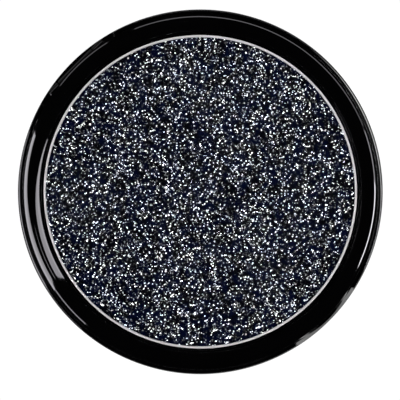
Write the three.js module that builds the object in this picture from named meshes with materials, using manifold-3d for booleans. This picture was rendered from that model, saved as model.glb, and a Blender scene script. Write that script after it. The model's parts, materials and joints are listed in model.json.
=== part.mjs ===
// A round hinged compact for one pan of pressed glitter eyeshadow, in millimetres, +Z up.
// The origin is the centre of the foot. The thumb scoop is at the front (-Y), the hinge at the back (+Y).
import * as THREE from 'three';
import { mergeVertices } from 'three/addons/utils/BufferGeometryUtils.js';
import Module from 'manifold-3d';

const wasm = await Module();
wasm.setup();

// Driving dimensions
const caseRadius = 21; // outside of the base
const lidRadius = 20.39; // outside of the lid's bezel
const openingRadius = 18.5; // clear opening in the bezel
const panRadius = 18.15; // outside of the metal pan
const panWall = 0.3;
const ledgeHeight = 7.2; // top of the base's ledge, which the lid closes on
const lidSeat = 7.35; // underside of the closed lid
const ringSteps = 72; // facets round each turned piece

// Base
const footHeight = 0.4; // depth of the recess that holds the label
const floorTop = 1.5; // inside floor of the shell
const shelfHeight = 6.1; // step that carries the tray's flange
const shelfRadius = 19.1;
const shellBore = 19.55; // inside of the shell above the shelf
const ledgeRounding = 0.3;
const footRadius = 20.2;
const footWidth = 1.4;
const footBevelTop = [0.55, 1.1]; // heights of the two bevels between the foot and the wall

// Tray and pan
const wellRadius = 18.27;
const trayWall = 0.42;
const trayFloor = 2.8; // top of the tray's floor
const trayFloorThickness = 0.8;
const trayTop = 7;
const flangeRadius = 19.45;
const adhesiveThickness = 0.15;
const adhesiveRadius = 13;
const labelRadius = 15.5;
const labelThickness = 0.12;
const panFloor = 3.05; // underside of the pan
const panTop = 6.75;
const cakeTop = 6.42;
const fitGap = 0.05; // gap between pieces that rest on each other

// Lid
const bezelBore = 19.45; // inside of the bezel's wall
const windowRadius = 19.3;
const windowBottom = 9.6;
const windowTop = 10.8;
const lipUnderside = 10.88; // bezel lip over the window
const frameBottom = 8.4; // underside of the ring that holds the window
const ogeeMiddle = 19.42; // radius at which the bezel's top lies flat, between its two curves
const ogeeHeight = 11.08;

// Hinge, along X
const hingeY = 19.7;
const hingeZ = 7.3;
const knuckleRadius = 0.85;
const knuckleClearance = 1.05; // radius that the lid keeps clear round the base's knuckles
const lidKnuckleHalf = 2.65;
const baseKnuckleInner = 2.8;
const baseKnuckleOuter = 4.3;
const pinRadius = 0.4;
const pinHoleRadius = 0.45;
const reliefHalf = 5.6; // half the width of the recess behind the hinge
const reliefTilt = 35; // degrees; the lid's back lies along this slope when it is fully open
const reliefOffset = 0.86; // from the hinge line to the slope
const trayNotchHalf = 5.4; // half the width that the tray's flange leaves for the hinge
const webReach = 0.4; // how far the knuckles' webs reach behind the hinge line

// Thumb scoop, lift lip and catch
const scoopAngle = 13; // degrees each side of the front
const scoopSlope = 65; // degrees from level
const scoopRadius = 20.56; // where the slope starts on the ledge
const lipReach = 20.8; // furthest point of the lift lip
const lipRadius = 10.9; // radius of the lip's own outline
const lipHeight = 8.25;
const hookHalf = 2.4; // half the width of the lid's catch hook
const hookTip = 6.2;
const hookInner = 19.32;
const hookOuter = 19.72;
const hookBead = 0.1; // how far the bead stands out of the hook
const slotOuter = 19.98; // outer wall of the slot that the hook drops into
const slotGap = 0.35; // beside and below the hook

const gloss = { color: 0x060607, roughness: 0.06, metalness: 0 };
const material = (look) => new THREE.MeshStandardMaterial(look);

// A closed body turned about Z from [radius, height] points that run anticlockwise in the r, z plane.
function turned(points, steps = ringSteps) {
  const profile = points.map(([r, z]) => new THREE.Vector2(r, z));
  return new THREE.LatheGeometry(profile, steps).rotateX(Math.PI / 2);
}

// A ring closes its profile on itself.
function ring(points, steps) {
  return turned([...points, points[0]], steps);
}

function disc(radius, low, high, steps) {
  return turned([[0, low], [radius, low], [radius, high], [0, high]], steps);
}

// An upright block, from its lowest to its highest corner.
function block([x0, y0, z0], [x1, y1, z1]) {
  const box = new THREE.BoxGeometry(x1 - x0, y1 - y0, z1 - z0);
  return box.translate((x0 + x1) / 2, (y0 + y1) / 2, (z0 + z1) / 2);
}

// A rod along X on the hinge line.
function hingeRod(radius, x0, x1, steps = 24) {
  const rod = new THREE.CylinderGeometry(radius, radius, x1 - x0, steps).rotateZ(Math.PI / 2);
  return rod.translate((x0 + x1) / 2, hingeY, hingeZ);
}

// Points of a quarter round between two directions, in degrees, about a centre.
function arc([r, z], radius, from, to, steps) {
  return Array.from({ length: steps + 1 }, (_, i) => {
    const angle = THREE.MathUtils.degToRad(from + ((to - from) * i) / steps);
    return [r + radius * Math.cos(angle), z + radius * Math.sin(angle)];
  });
}

function solid(geometry) {
  const bare = geometry.clone();
  bare.deleteAttribute('normal');
  bare.deleteAttribute('uv');
  const merged = mergeVertices(bare, 1e-5);
  return new wasm.Manifold(new wasm.Mesh({
    numProp: 3,
    vertProperties: new Float32Array(merged.attributes.position.array),
    triVerts: new Uint32Array(merged.index.array),
  }));
}

function geometryOf(manifold) {
  const mesh = manifold.getMesh();
  const geometry = new THREE.BufferGeometry();
  geometry.setAttribute('position', new THREE.BufferAttribute(mesh.vertProperties, 3));
  geometry.setIndex(new THREE.BufferAttribute(mesh.triVerts, 1));
  geometry.computeVertexNormals();
  return geometry;
}

// One body with some shapes joined on and others cut away.
function shaped(body, { cuts = [], joins = [], lastCuts = [] }) {
  let result = solid(body);
  for (const cut of cuts) result = result.subtract(solid(cut));
  for (const join of joins) result = result.add(solid(join));
  for (const cut of lastCuts) result = result.subtract(solid(cut));
  return geometryOf(result);
}

function named(name, geometry, look) {
  const mesh = new THREE.Mesh(geometry, material(look));
  mesh.name = name;
  return mesh;
}

// Everything behind a slope through the hinge, which lets the lid's back edge swing down.
function hingeRelief() {
  const size = 6; // deep and high enough to leave the case
  const wedge = new THREE.BoxGeometry(2 * reliefHalf, size, size);
  wedge.translate(0, size / 2 - reliefOffset, size / 2 - reliefOffset);
  wedge.rotateX(THREE.MathUtils.degToRad(-reliefTilt));
  return wedge.translate(0, hingeY, hingeZ);
}

// A cone's worth of air over the thumb scoop: it meets the ledge at the scoop's edge
// and falls outwards at the scoop's slope.
function thumbScoop() {
  const fall = Math.tan(THREE.MathUtils.degToRad(scoopSlope));
  const reach = caseRadius + 0.5;
  const rise = 0.6;
  const sector = THREE.MathUtils.degToRad(2 * scoopAngle);
  const across = 12;
  const section = [
    [scoopRadius - rise / fall, ledgeHeight + rise],
    [scoopRadius, ledgeHeight],
    [reach, ledgeHeight - (reach - scoopRadius) * fall],
    [reach, ledgeHeight + rise],
  ];
  const points = [];
  for (let i = 0; i <= across; i++) {
    const angle = -Math.PI / 2 - sector / 2 + (sector * i) / across;
    for (const [r, z] of section) points.push(r * Math.cos(angle), r * Math.sin(angle), z);
  }
  const faces = [];
  const sides = section.length;
  for (let i = 0; i < across; i++) {
    for (let j = 0; j < sides; j++) {
      const a = i * sides + j;
      const b = i * sides + ((j + 1) % sides);
      faces.push(a, a + sides, b, b, a + sides, b + sides);
    }
  }
  const last = across * sides;
  faces.push(0, 1, 2, 0, 2, 3, last, last + 2, last + 1, last, last + 3, last + 2);
  const scoop = new THREE.BufferGeometry();
  scoop.setAttribute('position', new THREE.Float32BufferAttribute(points, 3));
  scoop.setIndex(faces);
  return scoop;
}

// The slot for the catch hook, open at the top, from a given height.
function catchSlot(bottom) {
  const half = hookHalf + slotGap;
  return block([-half, -slotOuter, bottom], [half, -shelfRadius + 0.3, lidSeat]);
}

// Outer moulding of the base: foot ring, floor, wall with a shelf for the tray, and the ledge.
function baseShell() {
  const rounding = arc([caseRadius - ledgeRounding, ledgeHeight - ledgeRounding], ledgeRounding, 0, 90, 4);
  const body = turned([
    [0, footHeight], [footRadius - footWidth - 0.2, footHeight], [footRadius - footWidth, 0],
    [footRadius, 0], [caseRadius - 0.15, footBevelTop[0]], [caseRadius, footBevelTop[1]],
    ...rounding,
    [shellBore, ledgeHeight], [shellBore, shelfHeight], [shelfRadius, shelfHeight],
    [shelfRadius, floorTop], [0, floorTop],
  ]);
  const knuckles = [];
  for (const side of [-1, 1]) {
    const ends = [side * baseKnuckleInner, side * baseKnuckleOuter].sort((a, b) => a - b);
    knuckles.push(hingeRod(knuckleRadius, ends[0], ends[1]));
    knuckles.push(block([ends[0], hingeY - knuckleRadius, floorTop + 0.5],
      [ends[1], hingeY + webReach, hingeZ - 0.3]));
  }
  return shaped(body, {
    cuts: [hingeRelief(), thumbScoop(), catchSlot(hookTip - slotGap)],
    joins: knuckles,
    lastCuts: [hingeRod(pinHoleRadius, -reliefHalf, reliefHalf)],
  });
}

// Inner moulding: a well with a floor for the pan and a flange that covers the gap to the shell.
function panTray() {
  const wall = wellRadius + trayWall;
  const body = turned([
    [0, trayFloor - trayFloorThickness], [wall, trayFloor - trayFloorThickness],
    [wall, shelfHeight + fitGap],
    [flangeRadius, shelfHeight + fitGap], [flangeRadius, trayTop - 0.15], [flangeRadius - 0.15, trayTop],
    [wellRadius + 0.12, trayTop], [wellRadius, trayTop - 0.12], [wellRadius, trayFloor], [0, trayFloor],
  ]);
  const hingeNotch = block([-trayNotchHalf, wall + 0.01, floorTop], [trayNotchHalf, caseRadius, lidSeat]);
  return shaped(body, { cuts: [hingeNotch, catchSlot(trayFloor)] });
}

function shadowPan() {
  const corner = 0.6;
  const outside = arc([panRadius - corner, panFloor + corner], corner, -90, 0, 3);
  const inside = arc([panRadius - corner, panFloor + corner], corner - panWall, 0, -90, 3);
  return turned([
    [0, panFloor], ...outside, [panRadius, panTop - 0.06], [panRadius - 0.06, panTop],
    [panRadius - panWall + 0.06, panTop], [panRadius - panWall, panTop - 0.06], ...inside,
    [0, panFloor + panWall],
  ]);
}

// The cake fills the pan to just under its edge.
function pressedShadow() {
  const radius = panRadius - panWall - fitGap;
  const bottom = panFloor + panWall + fitGap;
  return turned([
    [0, bottom], [radius - 0.45, bottom], [radius, bottom + 0.45], [radius, cakeTop - 0.08],
    [radius - 0.12, cakeTop], [0, cakeTop],
  ]);
}

// The bezel's top falls outwards in two curves that are flat where they meet: height changes with the
// square of the distance from that radius, less steeply on the inner side.
function ogee(radius) {
  const away = radius - ogeeMiddle;
  return ogeeHeight - (away < 0 ? -0.4 : 0.56) * away * away;
}

function lidBezel() {
  const shoulder = lidRadius - 0.2;
  const radii = [20.1, 19.95, 19.75, 19.55, ogeeMiddle, 19.25, 19.05, 18.85, openingRadius + 0.12];
  const shoulderEdge = ogee(shoulder);
  const body = ring([
    [bezelBore, lidSeat], [lidRadius - 0.1, lidSeat], [lidRadius, lidSeat + 0.1],
    [lidRadius, shoulderEdge - 0.24], [lidRadius - 0.05, shoulderEdge - 0.1], [shoulder, shoulderEdge],
    ...radii.map((r) => [r, ogee(r)]),
    [openingRadius, ogee(openingRadius) - 0.1], [openingRadius, lipUnderside], [bezelBore, lipUnderside],
  ]);
  const lipOutline = disc(lipRadius, lidSeat, lipHeight).translate(0, lipRadius - lipReach, 0);
  const lipInside = disc(lidRadius - 0.4, 0, 20);
  const liftLip = shaped(lipOutline, { cuts: [lipInside] });
  const hook = block([-hookHalf, -hookOuter, hookTip], [hookHalf, -hookInner, lidSeat + 0.6]);
  const bead = block([-hookHalf, -hookOuter - hookBead, hookTip + 0.1],
    [hookHalf, -hookInner - 0.1, hookTip + 0.35]);
  const clearances = [-1, 1].map((side) => {
    const ends = [side * (lidKnuckleHalf + 0.01), side * (baseKnuckleOuter + 0.3)].sort((a, b) => a - b);
    return hingeRod(knuckleClearance, ends[0], ends[1]);
  });
  return shaped(body, {
    cuts: clearances,
    joins: [liftLip, hook, bead, hingeRod(knuckleRadius, -lidKnuckleHalf, lidKnuckleHalf)],
    lastCuts: [hingeRod(pinHoleRadius, -reliefHalf, reliefHalf)],
  });
}

function lidWindow() {
  const edge = 0.1;
  return turned([
    [0, windowBottom], [windowRadius - edge, windowBottom], [windowRadius, windowBottom + edge],
    [windowRadius, windowTop - edge], [windowRadius - edge, windowTop], [0, windowTop],
  ]);
}

function windowFrame() {
  const edge = 0.15;
  return ring([
    [openingRadius, frameBottom + edge], [openingRadius + edge, frameBottom],
    [windowRadius, frameBottom], [windowRadius, windowBottom - fitGap],
    [openingRadius, windowBottom - fitGap],
  ]);
}

const compact = new THREE.Group();
compact.name = 'eyeshadow_compact';

const base = new THREE.Group();
base.add(
  named('base_shell', baseShell(), gloss),
  named('pan_tray', panTray(), gloss),
  named('pan_adhesive', disc(adhesiveRadius, trayFloor + fitGap, trayFloor + fitGap + adhesiveThickness, 48),
    { color: 0xd9d4c4, roughness: 0.7, metalness: 0 }),
  named('shadow_pan', shadowPan(), { color: 0xd4d5d7, roughness: 0.22, metalness: 1 }),
  named('pressed_shadow', pressedShadow(), { color: 0x171a2b, roughness: 0.4, metalness: 0.2 }),
  named('base_label', disc(labelRadius, footHeight - fitGap - labelThickness, footHeight - fitGap, 60),
    { color: 0xc9c9c6, roughness: 0.6, metalness: 0 }),
  named('hinge_pin', hingeRod(pinRadius, -baseKnuckleOuter + 0.1, baseKnuckleOuter - 0.1, 20),
    { color: 0xb9bbbf, roughness: 0.25, metalness: 1 }),
);

const lid = new THREE.Group();
lid.add(
  named('lid_bezel', lidBezel(), gloss),
  named('lid_window', lidWindow(), { color: 0xf2f6f8, roughness: 0.02, metalness: 0, transparent: true,
    opacity: 0.2 }),
  named('window_frame', windowFrame(), gloss),
);

compact.add(base, lid);
export default compact;
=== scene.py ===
import json

import bpy
import numpy as np
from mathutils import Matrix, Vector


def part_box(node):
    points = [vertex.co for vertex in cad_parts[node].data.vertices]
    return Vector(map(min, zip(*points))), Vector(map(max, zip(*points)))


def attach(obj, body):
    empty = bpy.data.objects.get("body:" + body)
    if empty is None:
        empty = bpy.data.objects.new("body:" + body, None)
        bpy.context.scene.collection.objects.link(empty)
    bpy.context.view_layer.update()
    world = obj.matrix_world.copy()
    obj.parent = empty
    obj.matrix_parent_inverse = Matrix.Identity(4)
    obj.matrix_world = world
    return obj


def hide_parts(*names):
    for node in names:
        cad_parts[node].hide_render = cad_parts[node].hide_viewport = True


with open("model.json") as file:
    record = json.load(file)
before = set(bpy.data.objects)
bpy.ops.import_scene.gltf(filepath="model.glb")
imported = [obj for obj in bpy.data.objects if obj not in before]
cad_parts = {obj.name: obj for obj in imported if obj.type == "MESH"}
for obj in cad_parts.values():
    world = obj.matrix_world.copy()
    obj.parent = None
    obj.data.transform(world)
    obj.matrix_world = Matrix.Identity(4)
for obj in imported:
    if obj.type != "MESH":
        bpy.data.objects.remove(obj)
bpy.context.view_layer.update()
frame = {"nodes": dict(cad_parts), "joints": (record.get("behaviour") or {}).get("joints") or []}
mm = 0.001

# Every shape below is in millimetres. Heights and radii that the frame already holds are read from it.
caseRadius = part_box("base_shell")[1].x / mm
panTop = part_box("shadow_pan")[1].z / mm
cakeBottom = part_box("pressed_shadow")[0].z / mm
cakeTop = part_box("pressed_shadow")[1].z / mm
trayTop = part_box("pan_tray")[1].z / mm
hingeY = frame["joints"][0]["pos_m"][1] / mm
hingeZ = frame["joints"][0]["pos_m"][2] / mm


# Runs smoothly from 0 where x is below low to 1 where it is above high.
def smoothStep(x, low, high):
    t = np.clip((x - low) / (high - low), 0, 1)
    return t * t * (3 - 2 * t)


# 1 inside a sector of this half angle about a middle direction and 0 outside it. At its ends it falls
# smoothly over this many degrees.
def sector(angles, middle, half, soft):
    away = np.abs((np.degrees(angles) - middle + 180) % 360 - 180)
    return 1 - smoothStep(away, half - soft / 2, half + soft / 2)


# Directions round a turned piece: even steps, with close ones added each side of every listed edge.
def directions(steps, edges=(), soft=0.25):
    even = np.arange(steps) * 360 / steps
    close = [np.linspace(edge - soft, edge + soft, 7) for edge in edges]
    return np.radians(np.unique(np.round(np.concatenate([even, *close]) % 360, 4)))


# Rounds the corners of a profile. corners is [direction, corner, (across, up)] and each radius holds for one
# corner in all directions. A rounded corner is a quadratic curve between a point before it and one after it,
# with one more point beyond each end, which keeps the flats flat. A radius of 0 keeps the one point. No
# rounding takes more than the given share of a side.
def roundedProfile(corners, radii, closed, steps=5, share=0.42, margin=0.1):
    before = np.roll(corners, 1, axis=1)
    after = np.roll(corners, -1, axis=1)
    t = np.linspace(0, 1, steps)[None, :, None]
    parts = []
    for k, radius in enumerate(radii):
        corner = corners[:, k:k + 1]
        if radius == 0 or (not closed and k in (0, len(radii) - 1)):
            parts.append(corner)
            continue
        back = before[:, k:k + 1] - corner
        on = after[:, k:k + 1] - corner
        backLength = np.linalg.norm(back, axis=2, keepdims=True) + 1e-9
        onLength = np.linalg.norm(on, axis=2, keepdims=True) + 1e-9
        reach = np.minimum(radius, share * np.minimum(backLength, onLength))
        beyond = reach + margin * reach
        start = corner + back / backLength * reach
        end = corner + on / onLength * reach
        curve = (1 - t) ** 2 * start + 2 * t * (1 - t) * corner + t ** 2 * end
        parts += [corner + back / backLength * beyond, curve, corner + on / onLength * beyond]
    return np.concatenate(parts, axis=1)


# Puts a grid of points [direction, place along the profile] into a mesh that closes round its directions.
# A closed profile also closes on itself. An open one starts and ends on the axis, and each end is one point.
def gridMesh(name, points, closed):
    rows, columns = points.shape[:2]
    if closed:
        vertices = points.reshape(-1, 3)
        across = columns
    else:
        vertices = np.concatenate([points[:, 1:-1].reshape(-1, 3), points[:1, 0], points[:1, -1]])
        across = columns - 2
    i = np.arange(rows)[:, None]
    j = np.arange(across if closed else across - 1)[None, :]
    nextRow = (i + 1) % rows
    nextColumn = (j + 1) % across
    quads = np.stack(np.broadcast_arrays(
        i * across + j, nextRow * across + j, nextRow * across + nextColumn, i * across + nextColumn),
        axis=-1)
    faces = quads.reshape(-1, 4).tolist()
    if not closed:
        firstPole = rows * across
        ring = np.arange(rows)
        start = np.stack([np.full(rows, firstPole), (ring + 1) % rows * across, ring * across], axis=1)
        end = np.stack([np.full(rows, firstPole + 1), ring * across + across - 1,
                        (ring + 1) % rows * across + across - 1], axis=1)
        faces += start.tolist() + end.tolist()
    mesh = bpy.data.meshes.new(name)
    mesh.from_pydata((vertices * mm).tolist(), [], faces)
    mesh.shade_smooth()
    mesh.update()
    piece = bpy.data.objects.new(name, mesh)
    bpy.context.scene.collection.objects.link(piece)
    return piece


# A piece turned about Z: its point is (radius * cos, radius * sin, height) in each direction.
def turnedPiece(name, angles, profile, closed):
    radius, height = profile[..., 0], profile[..., 1]
    turn = angles[:, None]
    points = np.stack([radius * np.cos(turn), radius * np.sin(turn), height], axis=-1)
    return gridMesh(name, points, closed)


# A piece turned about the hinge line: the profile's second number runs along X.
def hingePiece(name, angles, profile, closed):
    radius, along = profile[..., 0], profile[..., 1]
    turn = angles[:, None]
    points = np.stack([along, hingeY + radius * np.cos(turn), hingeZ + radius * np.sin(turn)], axis=-1)
    return gridMesh(name, points, closed)


# Lays corner values side by side: each one is a number, or one number for every direction.
def cornerArray(angles, pairs):
    ones = np.ones(len(angles))
    return np.stack([np.stack([a * ones, b * ones], axis=-1) for a, b in pairs], axis=1)


# Adds a node, sets its plain values and links what is given as a socket.
def addNode(tree, kind, values=None, **settings):
    node = tree.nodes.new(kind)
    for name, value in settings.items():
        setattr(node, name, value)
    for name, value in (values or {}).items():
        if isinstance(value, bpy.types.NodeSocket):
            tree.links.new(value, node.inputs[name])
        else:
            node.inputs[name].default_value = value
    return node


# A shader group with its sockets: inputs are (label, kind, value) and outputs (label, kind).
def newGroup(name, inputs, outputs):
    group = bpy.data.node_groups.new(name, "ShaderNodeTree")
    for label, kind, value in inputs:
        socket = group.interface.new_socket(label, in_out="INPUT", socket_type=kind)
        socket.default_value = value
    for label, kind in outputs:
        group.interface.new_socket(label, in_out="OUTPUT", socket_type=kind)
    return group, group.nodes.new("NodeGroupInput"), group.nodes.new("NodeGroupOutput")


# A node material, its tree and its Principled shader.
def newMaterial(name):
    material = bpy.data.materials.new(name)
    material.use_nodes = True
    return material, material.node_tree, material.node_tree.nodes["Principled BSDF"]


# Wear of a handled surface. A soft cloud of finger haze times fine random rubbing gives the roughness, the
# haze gives a shade, and the rubbing gives a height.
def makeWearGroup():
    group, given, result = newGroup(
        "handledSurface",
        [("Coordinates", "NodeSocketVector", (0, 0, 0)), ("Smoothest", "NodeSocketFloat", 0.04),
         ("Roughest", "NodeSocketFloat", 0.09), ("Haze Scale", "NodeSocketFloat", 160.0),
         ("Rub Scale", "NodeSocketFloat", 2600.0)],
        [("Roughness", "NodeSocketFloat"), ("Shade", "NodeSocketFloat"), ("Height", "NodeSocketFloat")])
    haze = addNode(group, "ShaderNodeTexNoise", {
        "Vector": given.outputs["Coordinates"], "Scale": given.outputs["Haze Scale"], "Detail": 3.0})
    rub = addNode(group, "ShaderNodeTexNoise", {
        "Vector": given.outputs["Coordinates"], "Scale": given.outputs["Rub Scale"], "Detail": 4.0})
    both = addNode(group, "ShaderNodeMath", {
        0: haze.outputs["Fac"], 1: rub.outputs["Fac"]}, operation="MULTIPLY")
    spread = addNode(group, "ShaderNodeMapRange", {
        "Value": both.outputs[0], "From Min": 0.15, "From Max": 0.4,
        "To Min": given.outputs["Smoothest"], "To Max": given.outputs["Roughest"]})
    group.links.new(spread.outputs[0], result.inputs["Roughness"])
    group.links.new(haze.outputs["Fac"], result.inputs["Shade"])
    group.links.new(rub.outputs["Fac"], result.inputs["Height"])
    return group


wearGroup = makeWearGroup()


# Puts the wear into a material, with the range of roughness that its finish gives.
def placeWear(tree, coordinates, finish):
    return addNode(tree, "ShaderNodeGroup", {
        "Coordinates": coordinates, "Smoothest": finish["smoothest"], "Roughest": finish["roughest"]},
        node_tree=wearGroup)


plasticFinish = {
    "dark": (0.00006, 0.00006, 0.00008, 1),
    "light": (0.00018, 0.00018, 0.0002, 1),
    "smoothest": 0.035,
    "roughest": 0.075,
    "ripple": 0.00000012,  # height of the moulded skin's ripple, in metres
    "refraction": 1.5,
}


# Polished black moulding with a faint ripple and slight handling wear.
def makeGlossPlastic():
    material, tree, shader = newMaterial("pianoBlackPlastic")
    place = addNode(tree, "ShaderNodeTexCoord")
    wear = placeWear(tree, place.outputs["Object"], plasticFinish)
    tint = addNode(tree, "ShaderNodeMix", {
        "Factor": wear.outputs["Shade"], "A": plasticFinish["dark"], "B": plasticFinish["light"]},
        data_type="RGBA")
    bump = addNode(tree, "ShaderNodeBump", {
        "Height": wear.outputs["Height"], "Distance": plasticFinish["ripple"], "Strength": 0.5})
    tree.links.new(tint.outputs["Result"], shader.inputs["Base Color"])
    tree.links.new(wear.outputs["Roughness"], shader.inputs["Roughness"])
    tree.links.new(bump.outputs["Normal"], shader.inputs["Normal"])
    shader.inputs["IOR"].default_value = plasticFinish["refraction"]
    return material


glossPlastic = makeGlossPlastic()

metalFinish = {
    "pan": {"dark": (0.19, 0.187, 0.187, 1), "light": (0.26, 0.256, 0.256, 1), "smoothest": 0.3,
            "roughest": 0.5, "grainHeight": 0.000002, "metallic": 0.35, "stretch": (1, 1, 6)},
    "pin": {"dark": (0.42, 0.42, 0.43, 1), "light": (0.62, 0.62, 0.63, 1), "smoothest": 0.18,
            "roughest": 0.32, "grainHeight": 0.000001, "metallic": 1.0, "stretch": (0.1, 1, 1)},
}


# Bright metal with drawing marks: the wear's noise, squeezed or stretched along one axis.
def makeMetal(name, finish):
    material, tree, shader = newMaterial(name)
    place = addNode(tree, "ShaderNodeTexCoord")
    squeezed = addNode(tree, "ShaderNodeMapping", {
        "Vector": place.outputs["Object"], "Scale": finish["stretch"]})
    wear = placeWear(tree, squeezed.outputs[0], finish)
    tint = addNode(tree, "ShaderNodeMix", {
        "Factor": wear.outputs["Shade"], "A": finish["dark"], "B": finish["light"]}, data_type="RGBA")
    bump = addNode(tree, "ShaderNodeBump", {
        "Height": wear.outputs["Height"], "Distance": finish["grainHeight"], "Strength": 0.6})
    tree.links.new(tint.outputs["Result"], shader.inputs["Base Color"])
    tree.links.new(wear.outputs["Roughness"], shader.inputs["Roughness"])
    tree.links.new(bump.outputs["Normal"], shader.inputs["Normal"])
    shader.inputs["Metallic"].default_value = finish["metallic"]
    return material


panMetal = makeMetal("brightPanMetal", metalFinish["pan"])
pinSteel = makeMetal("drawnSteel", metalFinish["pin"])

glitterFinish = {
    "flakeSize": 0.125 * mm,
    "binder": (0.0003, 0.0004, 0.0012, 1),
    "tilt": 0.9,
    "specular": 0.02,
    "navy": (0.0, 0.0003, 0.003, 1),
    "patchSize": 1.1 * mm,
    "patchRange": (0.42, 0.6),  # of the cloud, from black to navy
    "plainCast": (0.96, 1.0, 0.94, 1),
    "navyCast": (0.89, 0.95, 1.04, 1),
    "gapRange": (0.02, 0.05),  # how far from its edge a flake begins, as a share of its size
    "mirrorFrom": 0.975,  # flakes past this share are mirrors
    "mirror": (0.8, 0.82, 0.86, 1),
    "smoothest": 0.2,
    "roughest": 0.35,
    # the flakes' brightness below is partly their own dark-to-silver colour and partly painted sparkle, where
    # graded greys and near-white flakes stand in for flakes that catch the light
    "brightness": [  # share of the flakes up to here, and their colour
        (0.0, (0.0001, 0.0001, 0.0002)), (0.842, (0.0002, 0.0002, 0.0004)),
        (0.866, (0.005, 0.0053, 0.006)), (0.892, (0.022, 0.0225, 0.025)),
        (0.921, (0.08, 0.083, 0.087)), (0.941, (0.2, 0.207, 0.213)), (0.958, (0.42, 0.43, 0.44)),
        (0.974, (0.8, 0.82, 0.82)), (1.0, (0.95, 0.98, 0.97))],
}


# Flakes as cells: each cell gets its own brightness from dark to silver and its own lean, and a thin dark gap
# lies between cells. The brightness is partly the flakes' own colour and partly painted sparkle: the graded
# greys and near-white cells stand in for flakes that catch the light. A few cells are mirrors. A slow cloud
# turns the dark ones from black to navy.
def makeGlitterGroup():
    finish = glitterFinish
    colourAndSparkleStops = finish["brightness"]
    group, given, result = newGroup(
        "flakeField",
        [("Coordinates", "NodeSocketVector", (0, 0, 0)), ("Scale", "NodeSocketFloat", 5000.0),
         ("Patch Scale", "NodeSocketFloat", 900.0), ("Lean", "NodeSocketFloat", 0.5)],
        [("Color", "NodeSocketColor"), ("Metallic", "NodeSocketFloat"), ("Roughness", "NodeSocketFloat"),
         ("Normal", "NodeSocketVector")])
    cells = addNode(group, "ShaderNodeTexVoronoi", {
        "Vector": given.outputs["Coordinates"], "Scale": given.outputs["Scale"]}, feature="F1")
    edges = addNode(group, "ShaderNodeTexVoronoi", {
        "Vector": given.outputs["Coordinates"], "Scale": given.outputs["Scale"]}, feature="DISTANCE_TO_EDGE")
    chance = addNode(group, "ShaderNodeSeparateColor", {"Color": cells.outputs["Color"]})
    # the ramp paints each cell's brightness: partly the flakes' own colour, partly painted sparkle
    ramp = addNode(group, "ShaderNodeValToRGB", {"Fac": chance.outputs["Red"]})
    ramp.color_ramp.elements[0].position = colourAndSparkleStops[0][0]
    ramp.color_ramp.elements[0].color = (*colourAndSparkleStops[0][1], 1)
    ramp.color_ramp.elements[1].position = colourAndSparkleStops[-1][0]
    ramp.color_ramp.elements[1].color = (*colourAndSparkleStops[-1][1], 1)
    for position, color in colourAndSparkleStops[1:-1]:
        ramp.color_ramp.elements.new(position).color = (*color, 1)
    cloud = addNode(group, "ShaderNodeTexNoise", {
        "Vector": given.outputs["Coordinates"], "Scale": given.outputs["Patch Scale"], "Detail": 1.0})
    patch = addNode(group, "ShaderNodeMapRange", {
        "Value": cloud.outputs["Fac"], "From Min": finish["patchRange"][0],
        "From Max": finish["patchRange"][1], "To Min": 0.0, "To Max": 1.0})
    tinted = addNode(group, "ShaderNodeMix", {
        "Factor": patch.outputs[0], "A": finish["plainCast"], "B": finish["navyCast"]}, data_type="RGBA")
    fleck = addNode(group, "ShaderNodeMix", {
        "Factor": 1.0, "A": ramp.outputs["Color"], "B": tinted.outputs["Result"]},
        data_type="RGBA", blend_type="MULTIPLY")
    navy = addNode(group, "ShaderNodeMix", {
        "Factor": patch.outputs[0], "A": fleck.outputs["Result"], "B": finish["navy"]},
        data_type="RGBA", blend_type="ADD")
    inside = addNode(group, "ShaderNodeMapRange", {
        "Value": edges.outputs["Distance"], "From Min": finish["gapRange"][0],
        "From Max": finish["gapRange"][1], "To Min": 0.0, "To Max": 1.0})
    flakes = addNode(group, "ShaderNodeMix", {
        "Factor": inside.outputs[0], "A": finish["binder"], "B": navy.outputs["Result"]},
        data_type="RGBA")
    lean = addNode(group, "ShaderNodeVectorMath", {0: cells.outputs["Color"], 1: (0.5, 0.5, 0.5)},
                   operation="SUBTRACT")
    leaning = addNode(group, "ShaderNodeVectorMath", {0: lean.outputs[0], "Scale": given.outputs["Lean"]},
                      operation="SCALE")
    surface = addNode(group, "ShaderNodeNewGeometry")
    added = addNode(group, "ShaderNodeVectorMath", {0: surface.outputs["Normal"], 1: leaning.outputs[0]},
                   operation="ADD")
    normal = addNode(group, "ShaderNodeVectorMath", {0: added.outputs[0]}, operation="NORMALIZE")
    rough = addNode(group, "ShaderNodeMapRange", {
        "Value": chance.outputs["Blue"], "From Min": 0.0, "From Max": 1.0,
        "To Min": finish["smoothest"], "To Max": finish["roughest"]})
    mirrored = addNode(group, "ShaderNodeMath", {
        0: chance.outputs["Green"], 1: finish["mirrorFrom"]}, operation="GREATER_THAN")
    metal = addNode(group, "ShaderNodeMath", {
        0: mirrored.outputs[0], 1: inside.outputs[0]}, operation="MULTIPLY")
    silver = addNode(group, "ShaderNodeMix", {
        "Factor": metal.outputs[0], "A": flakes.outputs["Result"], "B": finish["mirror"]}, data_type="RGBA")
    group.links.new(silver.outputs["Result"], result.inputs["Color"])
    group.links.new(metal.outputs[0], result.inputs["Metallic"])
    group.links.new(rough.outputs[0], result.inputs["Roughness"])
    group.links.new(normal.outputs[0], result.inputs["Normal"])
    return group


glitterGroup = makeGlitterGroup()


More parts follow.
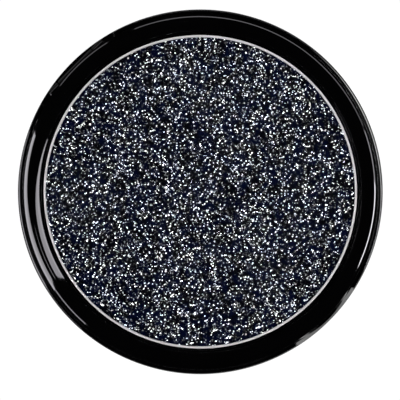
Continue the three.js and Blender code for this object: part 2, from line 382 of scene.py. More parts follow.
# The pressed glitter: the flake field over the cake.
def makeGlitter():
    material, tree, shader = newMaterial("pressedGlitter")
    place = addNode(tree, "ShaderNodeTexCoord")
    field = addNode(tree, "ShaderNodeGroup", {
        "Coordinates": place.outputs["Object"], "Scale": 1 / glitterFinish["flakeSize"],
        "Patch Scale": 1 / glitterFinish["patchSize"], "Lean": glitterFinish["tilt"]}, node_tree=glitterGroup)
    tree.links.new(field.outputs["Color"], shader.inputs["Base Color"])
    for label in ("Metallic", "Roughness", "Normal"):
        tree.links.new(field.outputs[label], shader.inputs[label])
    shader.inputs["Specular IOR Level"].default_value = glitterFinish["specular"]
    return material


glitterMaterial = makeGlitter()

flakeFinish = {"roughness": 0.3, "metallic": 0.5, "specular": 0.2}


# Loose flakes carry their tint in an attribute of their points. Its brightness is partly their own silver
# colour and partly painted sparkle.
def makeFlakeMaterial():
    material, tree, shader = newMaterial("silverFlake")
    tint = addNode(tree, "ShaderNodeAttribute", attribute_name="flakeTintAndSparkle")
    tree.links.new(tint.outputs["Color"], shader.inputs["Base Color"])
    shader.inputs["Roughness"].default_value = flakeFinish["roughness"]
    shader.inputs["Metallic"].default_value = flakeFinish["metallic"]
    shader.inputs["Specular IOR Level"].default_value = flakeFinish["specular"]
    return material


flakeMaterial = makeFlakeMaterial()

clearFinish = {
    "through": (0.98, 0.975, 0.98, 1),
    "mirror": (0.01, 0.01, 0.01, 1),
    "headOn": 0.04,  # share mirrored when seen head on
    "steepness": 5.0,
    "smoothest": 0.0,
    "roughest": 0.03,
}


# Clear moulded plastic: light goes straight through, and a share is mirrored. That share rises from its
# head-on value to all of it, with a high power of how far the surface turns away.
def makeClearPlastic():
    finish = clearFinish
    material, tree, shader = newMaterial("crystalClearPlastic")
    tree.nodes.remove(shader)
    place = addNode(tree, "ShaderNodeTexCoord")
    wear = placeWear(tree, place.outputs["Object"], finish)
    through = addNode(tree, "ShaderNodeBsdfTransparent", {"Color": finish["through"]})
    mirror = addNode(tree, "ShaderNodeBsdfGlossy", {
        "Color": finish["mirror"], "Roughness": wear.outputs["Roughness"]})
    angle = addNode(tree, "ShaderNodeLayerWeight", {"Blend": 0.5})
    steep = addNode(tree, "ShaderNodeMath", {
        0: angle.outputs["Facing"], 1: finish["steepness"]}, operation="POWER")
    share = addNode(tree, "ShaderNodeMath", {
        0: steep.outputs[0], 1: 1 - finish["headOn"], 2: finish["headOn"]}, operation="MULTIPLY_ADD")
    mixed = addNode(tree, "ShaderNodeMixShader", {
        0: share.outputs[0], 1: through.outputs[0], 2: mirror.outputs[0]})
    tree.links.new(mixed.outputs[0], tree.nodes["Material Output"].inputs["Surface"])
    return material


clearPlastic = makeClearPlastic()

sheetFinish = {
    "label": {"dark": (0.5, 0.5, 0.49, 1), "light": (0.66, 0.66, 0.64, 1), "roughness": 0.55},
    "glue": {"dark": (0.5, 0.47, 0.38, 1), "light": (0.62, 0.58, 0.48, 1), "roughness": 0.4},
    "fibresPerMetre": 4000.0,
    "fibreHeight": 0.000008,
}


# Matt sheet with a fine fibre grain, for the label and the glue film.
def makeSheetMaterial(name, finish):
    material, tree, shader = newMaterial(name)
    place = addNode(tree, "ShaderNodeTexCoord")
    fibre = addNode(tree, "ShaderNodeTexNoise", {
        "Vector": place.outputs["Object"], "Scale": sheetFinish["fibresPerMetre"], "Detail": 5.0})
    tint = addNode(tree, "ShaderNodeMix", {
        "Factor": fibre.outputs["Fac"], "A": finish["dark"], "B": finish["light"]}, data_type="RGBA")
    bump = addNode(tree, "ShaderNodeBump", {
        "Height": fibre.outputs["Fac"], "Distance": sheetFinish["fibreHeight"], "Strength": 0.4})
    tree.links.new(tint.outputs["Result"], shader.inputs["Base Color"])
    tree.links.new(bump.outputs["Normal"], shader.inputs["Normal"])
    shader.inputs["Roughness"].default_value = finish["roughness"]
    return material


labelPaper = makeSheetMaterial("satinPaper", sheetFinish["label"])
glueFilm = makeSheetMaterial("glueFilm", sheetFinish["glue"])
print("materials made:", len(bpy.data.materials))


# Hands a piece its material and its body, and hides the node it stands for. The slot is not used.
def settle(piece, material, body, slot, *nodes):
    piece.data.materials.append(material)
    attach(piece, body)
    if nodes:
        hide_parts(*nodes)
    return piece


frontAngle, backAngle = -90.0, 90.0  # degrees from +X

baseValues = {
    "recess": 0.4,
    "footInner": 18.8,
    "footSlope": 0.2,
    "footOuter": 20.2,
    "toe": (0.15, 0.55),  # how far in and how high the wall's lowest bend lies
    "wallPoints": (1.1, 3.2),  # heights of the upright wall's two lowest points
    "ledge": 7.2,
    "wallTop": 6.1,
    "beadMiddle": 20.69,  # the ledge ends in a rounded bead
    "beadRounding": 0.25,
    "beadSteps": 19,
    "grooveFloor": 6.98,
    "bore": 19.55,
    "shelf": 6.1,
    "shelfRadius": 19.1,
    "floor": 1.5,
    "scoopHalf": 12.8,  # degrees
    "scoopRadius": 20.56,
    "scoopFall": 0.94,
    "scoopLip": 0.1,  # how far the scoop's top runs inwards
    "reliefHalf": 16.1,  # degrees
    "reliefDepth": 1.05,  # below the hinge line
    "reliefSlope": 0.7,
    "slotHalf": 8.0,  # degrees
    "slotWall": 19.98,
    "slotFloor": 5.75,
}


# The base's shell: in each direction the profile goes from the middle of the underside over the foot ring,
# up the wall, over the ledge's bead, down the bore and along the floor. The scoop, the slope behind the hinge
# and the catch slot move its corners inside their own sectors.
def makeBaseShell():
    v = baseValues
    front, back = v["scoopHalf"], v["reliefHalf"]
    edges = [frontAngle - front, frontAngle + front, backAngle - back, backAngle + back,
             frontAngle - v["slotHalf"], frontAngle + v["slotHalf"]]
    angles = directions(360, edges)
    scoop = sector(angles, frontAngle, front, 0.4)
    relief = sector(angles, backAngle, back, 0.3)
    slotHere = sector(angles, frontAngle, v["slotHalf"], 0.3)
    sine = np.sin(angles)

    # the height of the case's top at a radius: level, or on the slope behind the hinge
    def top(radius, level):
        slope = hingeZ - v["reliefDepth"] - v["reliefSlope"] * (radius * sine - hingeY)
        return level + relief * (np.minimum(level, slope) - level)

    outer = caseRadius
    bore = v["bore"] + slotHere * (v["slotWall"] / np.maximum(np.abs(sine), 0.5) - v["bore"])
    shelf = v["shelf"] - slotHere * (v["shelf"] - v["slotFloor"])
    corners = [
        (0, v["recess"]), (v["footInner"] - v["footSlope"], v["recess"]), (v["footInner"], 0),
        (v["footOuter"], 0), (outer - v["toe"][0], v["toe"][1]), (outer, v["wallPoints"][0]),
        (outer, v["wallPoints"][1]), (outer, top(outer, v["wallTop"]))]
    rounding = [0, 0.1, 0.1, 0.35, 0.4, 0.4, 0, 0.1]
    # the bead is a half circle from its outer side over its top to its inner side, and in the scoop it is a
    # straight slope
    half = v["beadSteps"] // 2
    for k in range(v["beadSteps"]):
        turn = np.pi * k / (v["beadSteps"] - 1)
        radius = v["beadMiddle"] + v["beadRounding"] * np.cos(turn)
        level = v["ledge"] - v["beadRounding"] * (1 - np.sin(turn))
        down = max(1 - k / half, 0)
        on = max(k / half - 1, 0)
        scoopAt = v["scoopRadius"] + down * (outer - v["scoopRadius"]) - on * v["scoopLip"]
        radius = radius + scoop * (scoopAt - radius)
        level = level + scoop * (v["ledge"] - down * v["scoopFall"] - level)
        corners.append((radius, top(radius, level)))
        rounding.append(0)
    corners += [
        (v["beadMiddle"] - v["beadRounding"], top(v["beadMiddle"] - v["beadRounding"], v["grooveFloor"])),
        (bore, top(bore, v["grooveFloor"])), (bore, top(bore, shelf)),
        (v["shelfRadius"], top(v["shelfRadius"], shelf)), (v["shelfRadius"], v["floor"]), (0, v["floor"])]
    rounding += [0.01, 0.08, 0.05, 0.05, 0.2, 0]
    profile = roundedProfile(cornerArray(angles, corners), rounding, closed=False, steps=7)
    piece = turnedPiece("baseShell", angles, profile, closed=False)
    return settle(piece, glossPlastic, "base", "case_plastic", "base_shell")


knuckleValues = {"radius": 0.85, "hole": 0.43, "inner": 2.8, "outer": 4.3, "lidHalf": 2.65,
                 "webFront": 0.85, "webBack": 0.4, "webDrop": 4.5, "edge": 0.12, "holeEdge": 0.04,
                 "steps": 96}


# A hinge knuckle and its web: in each direction round the hinge line the outline is the barrel, or the side
# of the web where that is further out.
def makeKnuckle(name, low, high, body, web):
    v = knuckleValues
    angles = np.arange(v["steps"]) * 2 * np.pi / v["steps"]
    away, up = np.cos(angles), np.sin(angles)
    down = np.maximum(-up, 1e-6)
    side = np.where(away > 0, v["webBack"], v["webFront"]) / np.maximum(np.abs(away), 1e-6)
    webReach = np.where(up < 0, np.minimum(side, v["webDrop"] / down), 0)
    outline = np.maximum(v["radius"], webReach if web else 0)
    corners = cornerArray(angles, [
        (v["hole"], low), (outline, low), (outline, high), (v["hole"], high)])
    rounding = [v["holeEdge"], v["edge"], v["edge"], v["holeEdge"]]
    piece = hingePiece(name, angles, roundedProfile(corners, rounding, closed=True), closed=True)
    return settle(piece, glossPlastic, body, "case_plastic")


pinValues = {"radius": 0.4, "half": 4.2, "edge": 0.08}


# The pin: a plain cylinder along the hinge line with rounded ends.
def makePin():
    v = pinValues
    angles = directions(48)
    corners = cornerArray(angles, [
        (0, -v["half"]), (v["radius"], -v["half"]), (v["radius"], v["half"]), (0, v["half"])])
    profile = roundedProfile(corners, [0, v["edge"], v["edge"], 0], closed=False)
    piece = hingePiece("hingePin", angles, profile, closed=False)
    return settle(piece, pinSteel, "base", "pin_steel", "hinge_pin")


trayValues = {"under": 2.0, "floor": 2.8, "wall": 18.69, "well": 18.27, "flange": 19.45, "flangeUnder": 6.15,
              "hingeHalf": 16.3, "hingeCut": 18.72, "slotHalf": 8.0, "slotCut": 18.8}


# The tray: a cup with a flange round its top, cut straight across at the hinge and at the catch slot.
def makeTray():
    v = trayValues
    edges = [backAngle - v["hingeHalf"], backAngle + v["hingeHalf"], frontAngle - v["slotHalf"],
             frontAngle + v["slotHalf"]]
    angles = directions(300, edges)
    upright = np.maximum(np.abs(np.sin(angles)), 0.5)
    flange = v["flange"] + sector(angles, backAngle, v["hingeHalf"], 0.3) * np.minimum(
        v["hingeCut"] / upright - v["flange"], 0)
    flange = flange + sector(angles, frontAngle, v["slotHalf"], 0.3) * np.minimum(
        v["slotCut"] / upright - v["flange"], 0)
    corners = cornerArray(angles, [
        (0, v["under"]), (v["wall"], v["under"]), (v["wall"], v["flangeUnder"]), (flange, v["flangeUnder"]),
        (flange, trayTop), (v["well"], trayTop), (v["well"], v["floor"]), (0, v["floor"])])
    profile = roundedProfile(corners, [0, 0.2, 0.02, 0.05, 0.1, 0.03, 0.2, 0], closed=False)
    piece = turnedPiece("panTray", angles, profile, closed=False)
    return settle(piece, glossPlastic, "base", "case_plastic", "pan_tray")


panValues = {"bottom": 3.05, "outer": 18.05, "wall": 0.25, "corner": 0.6, "innerCorner": 0.3, "edge": 0.07}


# The pan: a pressed cup with a round corner below and a thin bright edge on top.
def makePan():
    v = panValues
    angles = directions(300)
    outer = v["outer"]
    inner = outer - v["wall"]
    corners = cornerArray(angles, [
        (0, v["bottom"]), (outer, v["bottom"]), (outer, panTop), (inner, panTop),
        (inner, v["bottom"] + v["wall"]), (0, v["bottom"] + v["wall"])])
    rounding = [0, v["corner"], v["edge"], v["edge"], v["innerCorner"], 0]
    profile = roundedProfile(corners, rounding, closed=False, steps=7)
    piece = turnedPiece("shadowPan", angles, profile, closed=False)
    return settle(piece, panMetal, "base", "pan_metal", "shadow_pan")


# A flat disc with rounded rims: its radius, heights and edge are in its values.
def makeDisc(name, steps, values):
    radius, low, high, edge = (values[key] for key in ("radius", "low", "high", "edge"))
    angles = directions(steps)
    corners = cornerArray(angles, [(0, low), (radius, low), (radius, high), (0, high)])
    return turnedPiece(name, angles, roundedProfile(corners, [0, edge, edge, 0], closed=False), closed=False)


labelValues = {"radius": 15.5, "low": 0.23, "high": 0.35, "edge": 0.03}


# The blank label under the base, a thin disc.
def makeLabel():
    piece = makeDisc("baseLabel", 180, labelValues)
    return settle(piece, labelPaper, "base", "label_paper", "base_label")


makeBaseShell()
makeKnuckle("knuckleLeft", -knuckleValues["outer"], -knuckleValues["inner"], "base", web=True)
makeKnuckle("knuckleRight", knuckleValues["inner"], knuckleValues["outer"], "base", web=True)
makePin()
makeTray()
makePan()
makeLabel()
frame["nodes"]["pan_adhesive"].data.materials.clear()
frame["nodes"]["pan_adhesive"].data.materials.append(glueFilm)
print("base made")

cakeValues = {
    "gap": 0.02,  # between the cake and the pan's wall
    "sink": 0.02,  # how far the cake's top lies below its full height
    "edgeDrop": 0.1,  # how far the cake's top falls at its edge
    "edgeWidth": 0.35,
    "wave": 0.02,  # unevenness of the pressed top
    "flakes": 5200,
    "flakeRadius": (0.05, 0.12),
    "flakeThickness": 0.016,
    "flakeTilt": 28.0,  # degrees
    "flakeMargin": 0.25,  # how far the flakes keep from the pan's wall
    # how bright the loose flakes are painted, which is partly their own silver and partly painted sparkle:
    # from the dullest up to the dullest plus the next value, with few flakes near the top
    "flakeDullest": 0.001,
    "flakeSilverAndSparkle": 0.9,
    "flakePower": 12,  # the higher this is, the fewer flakes are bright
    "seed": 7,
}


# Height of the cake's top: level, with slow waves made of three sines, and falling smoothly at its edge.
def cakeHeight(x, y):
    v = cakeValues
    edge = panValues["outer"] - panValues["wall"] - v["gap"]
    wave = np.sin(0.9 * x + 0.4 * y) + np.sin(1.7 * y - 0.8 * x + 1.3) + np.sin(2.9 * x + 2.1 * y + 0.6)
    away = edge - np.hypot(x, y)
    edgeFall = v["edgeDrop"] * (1 - smoothStep(away, 0, v["edgeWidth"]))
    return cakeTop - v["sink"] + v["wave"] * (wave / 3 - 1) - edgeFall


# The cake: a rounded bottom and side, closed on top by rings of points at the height of the cake's top.
def makeCake():
    v = cakeValues
    angles = directions(240)
    edge = panValues["outer"] - panValues["wall"] - v["gap"]
    corners = cornerArray(angles, [(0, cakeBottom), (edge, cakeBottom), (edge, cakeTop - 0.3)])
    side = roundedProfile(corners, [0, 0.5, 0], closed=False)
    radii = np.concatenate([edge - np.linspace(0, 0.4, 9), np.linspace(edge - 0.8, 0, 44)])
    x, y = np.cos(angles)[:, None] * radii, np.sin(angles)[:, None] * radii
    top = np.stack([np.broadcast_to(radii, x.shape), cakeHeight(x, y)], axis=-1)
    top[:, -1, 1] = top[0, -1, 1]
    piece = turnedPiece("pressedShadow", angles, np.concatenate([side, top], axis=1), closed=False)
    return settle(piece, glitterMaterial, "base", "glitter_powder", "pressed_shadow")


# Loose-lying flakes: thin six-sided plates spread evenly over the cake, each turned and tilted at random.
def makeFlakes():
    v = cakeValues
    random = np.random.default_rng(v["seed"])
    count = v["flakes"]
    reach = panValues["outer"] - panValues["wall"] - v["flakeMargin"]
    spread = reach * np.sqrt(random.random(count))
    around = random.random(count) * 2 * np.pi
    x, y = spread * np.cos(around), spread * np.sin(around)
    size = v["flakeRadius"][0] + (v["flakeRadius"][1] - v["flakeRadius"][0]) * random.random(count) ** 2
    tilt = np.radians(v["flakeTilt"]) * random.random(count) ** 1.5
    lean = random.random(count) * 2 * np.pi
    spin = random.random(count) * 2 * np.pi
    lift = size * np.sin(tilt) * 0.5
    # each plate's own axes: up is the tilted normal, and the other two lie in the plate
    up = np.stack([np.sin(tilt) * np.cos(lean), np.sin(tilt) * np.sin(lean), np.cos(tilt)], axis=1)
    along = np.cross(up, np.stack([-np.sin(spin), np.cos(spin), np.zeros(count)], axis=1))
    along /= np.linalg.norm(along, axis=1, keepdims=True)
    across = np.cross(up, along)
    corner = np.arange(6) * np.pi / 3
    flat = np.cos(corner)[None, :, None] * along[:, None] + np.sin(corner)[None, :, None] * across[:, None]
    centre = np.stack([x, y, cakeHeight(x, y) + lift * 0.6], axis=1)[:, None]
    half = up[:, None] * v["flakeThickness"] / 2
    ringTop = centre + flat * size[:, None, None] + half
    ringLow = centre + flat * size[:, None, None] - half
    vertices = np.concatenate([ringTop, ringLow], axis=1).reshape(-1, 3)
    start = np.arange(count)[:, None] * 12
    k = np.arange(6)
    sides = np.stack([k + 6, (k + 1) % 6 + 6, (k + 1) % 6, k], axis=1)
    topFace = (start + np.arange(6)).tolist()
    lowFace = (start + np.arange(11, 5, -1)).tolist()
    sideFaces = (start[:, :, None] + sides[None]).reshape(-1, 4).tolist()
    mesh = bpy.data.meshes.new("glitterFlakes")
    mesh.from_pydata((vertices * mm).tolist(), [], topFace + lowFace + sideFaces)
    mesh.update()
    # each flake is silver with a little blue, green or straw. Its brightness is painted: partly its own
    # colour, partly painted sparkle, and most are painted dull
    bright = v["flakeDullest"] + v["flakeSilverAndSparkle"] * random.random(count) ** v["flakePower"]
    cast = 1 + 0.1 * (random.random((count, 3)) - 0.6) * np.array([1, 0.7, 1.2])
    tint = np.concatenate([np.clip(bright[:, None] * cast, 0, 1), np.ones((count, 1))], axis=1)
    layer = mesh.attributes.new("flakeTintAndSparkle", "FLOAT_COLOR", "POINT")
    layer.data.foreach_set("color", np.repeat(tint, 12, axis=0).astype(np.float32).ravel())
    piece = bpy.data.objects.new("glitterFlakes", mesh)
    bpy.context.scene.collection.objects.link(piece)
    return settle(piece, flakeMaterial, "base", "glitter_powder")


makeCake()
makeFlakes()
print("glitter made:", cakeValues["flakes"], "flakes")

bezelValues = {
    "bore": 19.45,
    "outer": 20.39,
    "seat": 7.35,
    "opening": 18.5,
    "lipUnder": 10.88,
    "middle": 19.42,  # radius at which the top lies flat
    "height": 11.0,
    "slopes": [  # fall of the top, in degrees, at each radius
        (18.4, 34), (18.58, 33), (18.7, 30), (18.87, 25), (19.0, 20), (19.14, 12.5), (19.26, 3),
        (19.32, 0), (19.55, 0), (19.66, 4), (19.76, 13), (19.86, 22), (19.95, 30), (20.0, 34),
        (20.09, 38), (20.18, 40.5), (20.28, 43.5), (20.5, 45)],
    "step": 0.01,
    "stepWidth": 0.03,
    "liftHalf": 12.0,  # degrees
    "liftReach": 20.8,
    "liftRadius": 10.9,
    "hingeNear": 7.55,  # degrees from the back, where the hinge's cut begins and ends
    "hingeFar": 13.2,
    "hingeClear": 1.05,
    "lipEdge": 8.1,  # height of the lift lip's outer edge
    "lipRoot": 8.45,  # height at which its top meets the bezel's side
    "sideMiddle": 9.6,
    "shoulder": 0.004,
    "openingEdge": 0.01,
}


# The bezel's top falls outwards in two curves that meet at a level place, with a fine step there. Its height
# is the sum of the listed slopes from that place on.
def ogee(radius):
    v = bezelValues
    fine = np.linspace(v["opening"] - 0.1, v["outer"] + 0.1, 600)
    places, falls = np.array(v["slopes"]).T
    fall = np.tan(np.radians(np.interp(fine, places, falls)))
    height = -np.cumsum(fall) * (fine[1] - fine[0])
    height += v["height"] - np.interp(v["middle"], fine, height)
    return np.interp(radius, fine, height) - v["step"] * np.tanh((radius - v["middle"]) / v["stepWidth"])


# The lid's ring: in each direction the profile goes from its bore under its seat, out to the lift lip or the
# side, up to the top, and inwards over the top to the opening. The lift lip is part of a smaller circle set
# towards the front.
def makeBezel():
    v = bezelValues
    edges = [backAngle + side * at for side in (-1, 1) for at in (v["hingeNear"], v["hingeFar"])]
    edges += [frontAngle - v["liftHalf"], frontAngle + v["liftHalf"]]
    angles = directions(360, edges)
    fromFront = angles - np.radians(frontAngle)
    centreReach = v["liftReach"] - v["liftRadius"]
    lipSquare = v["liftRadius"] ** 2 - (centreReach * np.sin(fromFront)) ** 2
    lipCircle = centreReach * np.cos(fromFront) + np.sqrt(np.maximum(lipSquare, 0))
    low = np.maximum(v["outer"], np.where(np.cos(fromFront) > 0.9, lipCircle, 0))
    hinged = sector(angles, backAngle, v["hingeFar"], 0.3) - sector(angles, backAngle, v["hingeNear"], 0.3)

    # the underside is level, or rises over the base's knuckles as a round tunnel
    def under(radius):
        away = radius * np.sin(angles) - hingeY
        tunnel = hingeZ + np.sqrt(np.maximum(v["hingeClear"] ** 2 - away ** 2, 0))
        return v["seat"] + hinged * np.maximum(tunnel - v["seat"], 0)

    outerUnder = under(v["outer"])
    even = np.linspace(v["outer"] - 0.12, v["opening"] + 0.08, 76)
    radii = np.sort(np.append(even, v["middle"] + np.linspace(-0.07, 0.07, 15)))[::-1]
    corners = [
        (v["bore"], under(v["bore"])), (low, outerUnder), (low, np.maximum(v["lipEdge"], outerUnder + 0.05)),
        (v["outer"], np.maximum(v["lipRoot"], outerUnder + 0.1)), (v["outer"], v["sideMiddle"]),
        (v["outer"], ogee(v["outer"]))]
    corners += [(radius, ogee(radius)) for radius in radii]
    corners += [(v["opening"], ogee(v["opening"])), (v["opening"], v["lipUnder"]), (v["bore"], v["lipUnder"])]
    rounding = [0.05, 0.1, 0.05, 0.05, 0, v["shoulder"]] + [0] * len(radii) + [v["openingEdge"], 0.05, 0.05]
    profile = roundedProfile(cornerArray(angles, corners), rounding, closed=True, steps=7)
    piece = turnedPiece("lidBezel", angles, profile, closed=True)
    return settle(piece, glossPlastic, "lid", "case_plastic", "lid_bezel")


hookValues = {"half": 2.4, "inner": -19.32, "outer": -19.72, "bead": 0.1, "tip": 6.2, "root": 7.9}


# The catch hook: an outline in the Y, Z plane carried along X, with its ends drawn in a little.
def makeHook():
    v = hookValues
    outline = np.array([
        (v["inner"], v["root"]), (v["outer"], v["root"]), (v["outer"], v["tip"] + 0.42),
        (v["outer"] - v["bead"], v["tip"] + 0.3), (v["outer"] - v["bead"], v["tip"] + 0.18),
        (v["outer"] + 0.06, v["tip"]), (v["inner"] - 0.06, v["tip"]), (v["inner"], v["tip"] + 0.08)])
    profile = roundedProfile(outline[None], [0.05] * len(outline), closed=True, steps=4)[0]
    stations = np.array([-1, -1, -0.985, 0, 0.985, 1, 1]) * v["half"]
    inset = np.array([1, 0.85, 1, 1, 1, 0.85, 1])
    inset[[0, -1]] = 0
    centre = profile.mean(0)
    across = centre + (profile[None] - centre) * inset[:, None, None]
    x = np.broadcast_to(stations[:, None, None], (*across.shape[:2], 1))
    points = np.concatenate([x, across], axis=2).transpose(1, 0, 2)
    piece = gridMesh("catchHook", points, closed=False)
    return settle(piece, glossPlastic, "lid", "case_plastic")


windowValues = {"radius": 19.3, "low": 9.6, "high": 10.8, "edge": 0.1}


# The clear window, a disc that reaches under the bezel's lip.
def makeWindow():
    piece = makeDisc("lidWindow", 240, windowValues)
    return settle(piece, clearPlastic, "lid", "window_plastic", "lid_window")


windowFrameValues = {"inner": 18.5, "outer": 19.3, "low": 8.4, "high": 9.55}


# The ring that holds the window from below: four rounded corners turned about Z.
def makeWindowFrame():
    v = windowFrameValues
    angles = directions(240)
    corners = cornerArray(angles, [
        (v["inner"], v["low"]), (v["outer"], v["low"]), (v["outer"], v["high"]), (v["inner"], v["high"])])
    profile = roundedProfile(corners, [0.2, 0.06, 0.05, 0.05], closed=True)
    piece = turnedPiece("windowFrame", angles, profile, closed=True)
    return settle(piece, glossPlastic, "lid", "case_plastic", "window_frame")


makeBezel()
makeHook()
makeKnuckle("lidKnuckle", -knuckleValues["lidHalf"], knuckleValues["lidHalf"], "lid", web=False)
makeWindow()
makeWindowFrame()
print("lid made")

# A compass direction is in degrees clockwise from the top of the camera's view.
frontCompass = 135.0  # where the front of the case lies


# The unit vector towards a compass direction, this many degrees away from straight up.
def compassVector(compass, zenith):
    turn = np.radians(frontAngle + frontCompass - compass)
    across = np.sin(np.radians(zenith))
    return np.array([across * np.cos(turn), across * np.sin(turn), np.cos(np.radians(zenith))])


surroundValues = {
    "floorSize": 4.0,  # from the middle to a side, in metres
    "pale": (0.98, 0.98, 0.98, 1),  # what the camera sees
    "paleStrength": 1.05,
    "floorMirrored": (0.12, 0.12, 0.12, 1),  # what shows in glossy surfaces
    "worldMirrored": (0.003, 0.003, 0.0034, 1),
    "floorLight": 0.5,  # share of the pale floor that lights matt surfaces
}


# The floor, a flat square. It glows pale for the camera, half as much for matt surfaces and little for glossy
# ones.
def makeFloor():
    v = surroundValues
    size = v["floorSize"]
    mesh = bpy.data.meshes.new("floor")
    mesh.from_pydata(
        [(-size, -size, 0), (size, -size, 0), (size, size, 0), (-size, size, 0)], [], [(0, 1, 2, 3)])
    floor = bpy.data.objects.new("floor", mesh)
    bpy.context.scene.collection.objects.link(floor)
    material, tree, shader = newMaterial("paleFloor")
    tree.nodes.remove(shader)
    dark = addNode(tree, "ShaderNodeEmission", {"Color": v["floorMirrored"], "Strength": 1.0})
    pale = addNode(tree, "ShaderNodeEmission", {"Color": v["pale"], "Strength": v["paleStrength"]})
    path = addNode(tree, "ShaderNodeLightPath")
    seen = addNode(tree, "ShaderNodeMath", {
        0: path.outputs["Is Diffuse Ray"], 1: v["floorLight"], 2: path.outputs["Is Camera Ray"]},
        operation="MULTIPLY_ADD")
    mixed = addNode(tree, "ShaderNodeMixShader", {
        0: seen.outputs[0], 1: dark.outputs[0], 2: pale.outputs[0]})
    tree.links.new(mixed.outputs[0], tree.nodes["Material Output"].inputs["Surface"])
    mesh.materials.append(material)


# Material that gives light. Its strength is one number, or the points' attribute of this name.
def makeEmitter(name, color, strength):
    material = bpy.data.materials.new(name)
    material.use_nodes = True
    tree = material.node_tree
    tree.nodes.clear()
    if isinstance(strength, str):
        strength = addNode(tree, "ShaderNodeAttribute", attribute_name=strength).outputs["Fac"]
    light = addNode(tree, "ShaderNodeEmission", {"Color": color, "Strength": strength})
    output = addNode(tree, "ShaderNodeOutputMaterial")
    tree.links.new(light.outputs[0], output.inputs["Surface"])
    return material


# A flat card of light with its corners at these places.
def lightCard(name, places, radiance):
    points = [tuple(float(x) for x in place) for place in places]
    mesh = bpy.data.meshes.new(name)
    mesh.from_pydata(points, [], [tuple(range(len(points)))])
    card = bpy.data.objects.new(name, mesh)
    bpy.context.scene.collection.objects.link(card)
    mesh.materials.append(makeEmitter(name, cardColor, radiance))
    card.visible_camera = False


cardColor = (0.985, 0.965, 1.03, 1)
cardDistance = 0.5  # metres

# Each card is a patch of sky: the compass direction and the angle from overhead of each corner, and its glow.
lightValues = {
    "leftSoftbox": ([(240, 27), (238, 64), (276, 64), (276, 56), (270, 50)], 6.6),
    "leftSoftboxLow": ([(238, 64), (236, 76), (289, 76), (289, 66), (282, 61), (276, 57)], 8.0),
    "leftSoftboxFoot": ([(236, 76), (236, 84), (290, 86), (289, 76)], 9.0),
    "leftEdge": ([(221, 72), (221, 80), (236, 80), (236, 72)], 5.0),
    "rightStrip": ([(86, 69), (88, 77), (116, 76), (114, 68)], 24.0),
    "rightMiddle": ([(69, 75), (70, 80), (88, 77), (86, 69)], 6.0),
    "topStrip": ([(338, 78), (338, 82), (68, 82), (68, 78)], 2.8),
    "cornerStrip": ([(307, 79), (307, 84), (328, 84), (328, 79)], 2.0),
}
for name, (corners, radiance) in lightValues.items():
    lightCard(name, [compassVector(*corner) * cardDistance for corner in corners], radiance)

# Two small sheets of light, each over a range of compass directions and from a near (radius, height) to a far
# one, in metres. One lies on the floor in front, where the thumb scoop mirrors it. The other stands at the
# right beside the ledge's bead.
sheetValues = {
    "frontPool": {
        "near": (0.0225, 0.0003), "far": (0.05, 0.0003), "soft": 0.5,
        "glow": [(60, 0), (94, 0.35), (112, 1.2), (124, 1.5), (131, 1.0), (139, 1.0), (146, 1.5),
                 (158, 1.2), (176, 0.35), (210, 0)]},
    "rightSheet": {
        "near": (0.023, 0.0085), "far": (0.023, 0.0101), "soft": 0.05,
        "glow": [(38, 0), (46, 8), (60, 25), (76, 26), (88, 16), (95, 5), (102, 0)]},
}


# A sheet of light round the case: its points run straight from near to far in every direction. The glow is
# read from the list by direction, and fades smoothly at the near and far sides.
def lightSheet(name, values):
    compass, glow = np.array(values["glow"], dtype=float).T
    turns = np.linspace(compass[0], compass[-1], 64)
    across = np.linspace(0, 1, 17)
    reach = values["near"][0] + (values["far"][0] - values["near"][0]) * across
    height = values["near"][1] + (values["far"][1] - values["near"][1]) * across
    direction = np.array([compassVector(turn, 90) for turn in turns])
    points = direction[:, None] * reach[None, :, None] + np.array([0, 0, 1.0]) * height[None, :, None]
    soft = values["soft"]
    fade = smoothStep(across, 0, soft * 0.3) * (1 - smoothStep(across, 1 - soft, 1))
    strength = np.interp(turns, compass, glow)[:, None] * fade
    rows, columns = strength.shape
    i, j = np.arange(rows - 1)[:, None], np.arange(columns - 1)[None, :]
    corner = i * columns + j
    faces = np.stack([corner, corner + columns, corner + columns + 1, corner + 1], axis=-1).reshape(-1, 4)
    mesh = bpy.data.meshes.new(name)
    mesh.from_pydata(points.reshape(-1, 3).tolist(), [], faces.tolist())
    layer = mesh.attributes.new("glow", "FLOAT", "POINT")
    layer.data.foreach_set("value", strength.astype(np.float32).ravel())
    sheet = bpy.data.objects.new(name, mesh)
    bpy.context.scene.collection.objects.link(sheet)
    mesh.materials.append(makeEmitter(name, (1, 1, 1, 1), "glow"))
    sheet.visible_camera = False


for name, values in sheetValues.items():
    lightSheet(name, values)


fillValues = {"size": 0.2, "height": 0.6, "brightness": 5.0}  # size and height in metres


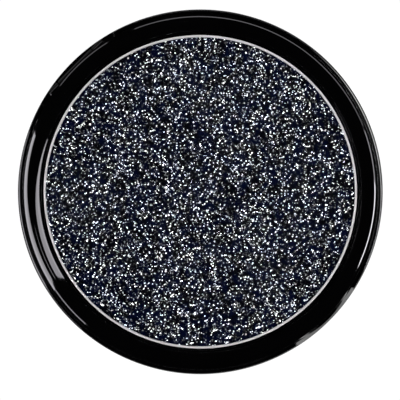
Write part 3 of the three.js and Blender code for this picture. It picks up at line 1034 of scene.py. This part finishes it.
# Soft light from overhead for the matt surfaces, which mirror-like ones don't show. Its energy grows with the
# square of its height, so that the case stays equally lit.
def makeFill():
    v = fillValues
    lamp = bpy.data.lights.new("fill", "AREA")
    lamp.shape = "DISK"
    lamp.size = v["size"]
    lamp.energy = v["brightness"] * np.pi * np.pi * v["height"] ** 2
    holder = bpy.data.objects.new("fill", lamp)
    bpy.context.scene.collection.objects.link(holder)
    holder.location = (0, 0, v["height"])
    holder.visible_glossy = False
    holder.visible_camera = False


makeFill()
makeFloor()


# The surroundings: pale for the camera and nearly black for every surface.
def makeWorld():
    v = surroundValues
    world = bpy.data.worlds.new("studio")
    world.use_nodes = True
    tree = world.node_tree
    tree.nodes.clear()
    dark = addNode(tree, "ShaderNodeBackground", {"Color": v["worldMirrored"], "Strength": 1.0})
    pale = addNode(tree, "ShaderNodeBackground", {"Color": v["pale"], "Strength": v["paleStrength"]})
    path = addNode(tree, "ShaderNodeLightPath")
    mixed = addNode(tree, "ShaderNodeMixShader", {
        0: path.outputs["Is Camera Ray"], 1: dark.outputs[0], 2: pale.outputs[0]})
    output = addNode(tree, "ShaderNodeOutputWorld")
    tree.links.new(mixed.outputs[0], output.inputs["Surface"])
    bpy.context.scene.world = world


makeWorld()

cameraValues = {
    "distance": 1.8,  # above the ledge, in metres
    "caseShare": 0.4563,  # the case's radius as a share of the view's side
    "offset": (0.0008, 0.0205),  # the case's centre from the view's, right and up, as shares of its side
    "sensor": 36.0,
}


# The camera looks straight down from far away. The view's side is the case's radius divided by its share, and
# the lens is as long as that side needs at the height of the ledge.
def makeCamera():
    v = cameraValues
    side = caseRadius * mm / v["caseShare"]
    ledge = baseValues["ledge"] * mm
    camera = bpy.data.cameras.new("camera")
    camera.sensor_width = v["sensor"]
    camera.lens = v["sensor"] * v["distance"] / side
    camera.clip_start = 0.1
    camera.clip_end = 20
    holder = bpy.data.objects.new("camera", camera)
    bpy.context.scene.collection.objects.link(holder)
    up, right = compassVector(0, 90), compassVector(90, 90)
    place = -right * v["offset"][0] * side - up * v["offset"][1] * side
    holder.location = (place[0], place[1], ledge + v["distance"])
    holder.rotation_euler = (0, 0, np.radians(frontAngle + frontCompass) - np.pi / 2)
    bpy.context.scene.camera = holder


makeCamera()
bpy.context.scene.view_settings.view_transform = "Standard"
print("studio made")
